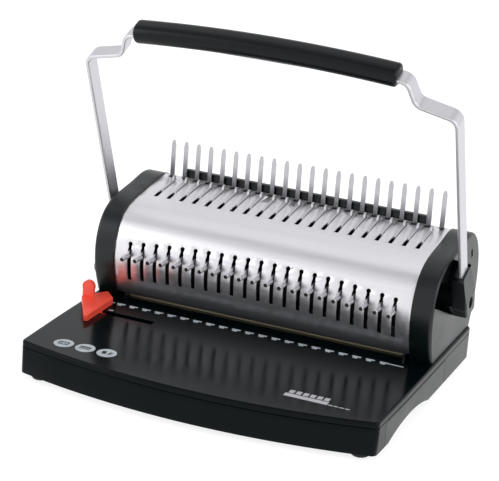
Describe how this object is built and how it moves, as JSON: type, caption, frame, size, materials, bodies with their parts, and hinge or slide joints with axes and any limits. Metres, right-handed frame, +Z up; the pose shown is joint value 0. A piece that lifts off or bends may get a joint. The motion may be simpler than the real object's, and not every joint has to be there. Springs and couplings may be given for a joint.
{
  "type": "comb binding machine",
  "caption": "Desk-top comb binding machine: U-handle punch head with curved aluminium cover, comb tines, pin selectors, paper throat, edge guide and chip drawer.",
  "frame": {"origin": "centre of the machine's footprint on the table, at the bottom of the feet", "axes": "+Z up, -Y the front where paper goes in, +X to the operator's right"},
  "size_m": [0.3968, 0.3244, 0.3474],
  "materials": {
    "black_housing": "satin",
    "black_gloss": "gloss",
    "aluminium_sheet": "brushed",
    "steel": "brushed",
    "plated_handle": "satin",
    "zinc": "plated",
    "rubber": "matte",
    "grip": "satin",
    "red_plastic": "satin",
    "white_print": "matte",
    "grey_plastic": "matte"
  },
  "bodies": {
    "base": {"base_lower": "black_gloss", "base_top": "black_gloss", "bottom_cover": "grey_plastic", "rubber_feet": "rubber", "bottom_screws": "steel", "edge_marks": "white_print", "icon_discs": "white_print", "name_bar": "plated_handle", "head_cover": "aluminium_sheet", "end_cap_left": "black_housing", "end_cap_right": "black_housing", "rear_cover": "black_housing", "side_frame_left": "steel", "side_frame_right": "steel", "shaft_bushes": "grey_plastic", "spring_rod": "steel", "comb_rack": "plated_handle", "comb_strip": "black_housing", "die_plate": "zinc", "pin_guide": "steel", "paper_stop": "steel", "return_spring_left": "steel", "return_spring_right": "steel"},
    "handle": {"handle_bar": "plated_handle", "handle_grip": "grip", "hub_boot_left": "black_housing", "hub_boot_right": "black_housing", "main_shaft": "steel", "cranks": "steel"},
    "punch": {"punch_bar": "steel", "punch_pins": "steel"},
    "hooks": {"hook_plate": "plated_handle"},
    "edge_guide": {"edge_guide": "red_plastic"},
    "margin_dial": {"margin_dial": "black_housing"},
    "chip_drawer": {"chip_drawer": "black_housing"},
    "selector_01": {"selector_01": "plated_handle"},
    "selector_02": {"selector_02": "plated_handle"},
    "selector_03": {"selector_03": "plated_handle"},
    "selector_04": {"selector_04": "plated_handle"},
    "selector_05": {"selector_05": "plated_handle"},
    "selector_06": {"selector_06": "plated_handle"},
    "selector_07": {"selector_07": "plated_handle"},
    "selector_08": {"selector_08": "plated_handle"},
    "selector_09": {"selector_09": "plated_handle"},
    "selector_10": {"selector_10": "plated_handle"},
    "selector_11": {"selector_11": "plated_handle"},
    "selector_12": {"selector_12": "plated_handle"},
    "selector_13": {"selector_13": "plated_handle"},
    "selector_14": {"selector_14": "plated_handle"},
    "selector_15": {"selector_15": "plated_handle"},
    "selector_16": {"selector_16": "plated_handle"},
    "selector_17": {"selector_17": "plated_handle"},
    "selector_18": {"selector_18": "plated_handle"},
    "selector_19": {"selector_19": "plated_handle"},
    "selector_20": {"selector_20": "plated_handle"},
    "selector_21": {"selector_21": "plated_handle"}
  },
  "joints": [
    {"name": "handle_swing", "type": "hinge", "parent": "base", "child": "handle", "pos_m": [0, 0.086, 0.088], "axis": [1, 0, 0], "range_deg": [-35, 70], "stiffness_Nm_per_rad": 1.6, "springref_deg": -21.49},
    {"name": "punch_stroke", "type": "slide", "parent": "base", "child": "punch", "axis": [0, 0, -1], "range_m": [-0.0067, 0.0133], "deforming": ["return_spring_left", "return_spring_right"]},
    {"name": "hook_travel", "type": "slide", "parent": "base", "child": "hooks", "axis": [0, -1, 0], "range_m": [0, 0.014]},
    {"name": "edge_guide_slide", "type": "slide", "parent": "base", "child": "edge_guide", "axis": [1, 0, 0], "range_m": [0, 0.05]},
    {"name": "margin_dial_turn", "type": "hinge", "parent": "base", "child": "margin_dial", "pos_m": [-0.1858, 0.034, 0.066], "axis": [1, 0, 0], "range_deg": [-60, 60]},
    {"name": "drawer_slide", "type": "slide", "parent": "base", "child": "chip_drawer", "axis": [1, 0, 0], "range_m": [0, 0.25]},
    {"name": "selector_01_pull", "type": "slide", "parent": "punch", "child": "selector_01", "axis": [0, -1, 0], "range_m": [0, 0.005]},
    {"name": "selector_02_pull", "type": "slide", "parent": "punch", "child": "selector_02", "axis": [0, -1, 0], "range_m": [0, 0.005]},
    {"name": "selector_03_pull", "type": "slide", "parent": "punch", "child": "selector_03", "axis": [0, -1, 0], "range_m": [0, 0.005]},
    {"name": "selector_04_pull", "type": "slide", "parent": "punch", "child": "selector_04", "axis": [0, -1, 0], "range_m": [0, 0.005]},
    {"name": "selector_05_pull", "type": "slide", "parent": "punch", "child": "selector_05", "axis": [0, -1, 0], "range_m": [0, 0.005]},
    {"name": "selector_06_pull", "type": "slide", "parent": "punch", "child": "selector_06", "axis": [0, -1, 0], "range_m": [0, 0.005]},
    {"name": "selector_07_pull", "type": "slide", "parent": "punch", "child": "selector_07", "axis": [0, -1, 0], "range_m": [0, 0.005]},
    {"name": "selector_08_pull", "type": "slide", "parent": "punch", "child": "selector_08", "axis": [0, -1, 0], "range_m": [0, 0.005]},
    {"name": "selector_09_pull", "type": "slide", "parent": "punch", "child": "selector_09", "axis": [0, -1, 0], "range_m": [0, 0.005]},
    {"name": "selector_10_pull", "type": "slide", "parent": "punch", "child": "selector_10", "axis": [0, -1, 0], "range_m": [0, 0.005]},
    {"name": "selector_11_pull", "type": "slide", "parent": "punch", "child": "selector_11", "axis": [0, -1, 0], "range_m": [0, 0.005]},
    {"name": "selector_12_pull", "type": "slide", "parent": "punch", "child": "selector_12", "axis": [0, -1, 0], "range_m": [0, 0.005]},
    {"name": "selector_13_pull", "type": "slide", "parent": "punch", "child": "selector_13", "axis": [0, -1, 0], "range_m": [0, 0.005]},
    {"name": "selector_14_pull", "type": "slide", "parent": "punch", "child": "selector_14", "axis": [0, -1, 0], "range_m": [0, 0.005]},
    {"name": "selector_15_pull", "type": "slide", "parent": "punch", "child": "selector_15", "axis": [0, -1, 0], "range_m": [0, 0.005]},
    {"name": "selector_16_pull", "type": "slide", "parent": "punch", "child": "selector_16", "axis": [0, -1, 0], "range_m": [0, 0.005]},
    {"name": "selector_17_pull", "type": "slide", "parent": "punch", "child": "selector_17", "axis": [0, -1, 0], "range_m": [0, 0.005]},
    {"name": "selector_18_pull", "type": "slide", "parent": "punch", "child": "selector_18", "axis": [0, -1, 0], "range_m": [0, 0.005]},
    {"name": "selector_19_pull", "type": "slide", "parent": "punch", "child": "selector_19", "axis": [0, -1, 0], "range_m": [0, 0.005]},
    {"name": "selector_20_pull", "type": "slide", "parent": "punch", "child": "selector_20", "axis": [0, -1, 0], "range_m": [0, 0.005]},
    {"name": "selector_21_pull", "type": "slide", "parent": "punch", "child": "selector_21", "axis": [0, -1, 0], "range_m": [0, 0.005]}
  ],
  "couplings": [
    {"joint": "punch_stroke", "follows": "handle_swing", "m_per_rad": 0.0108}
  ]
}
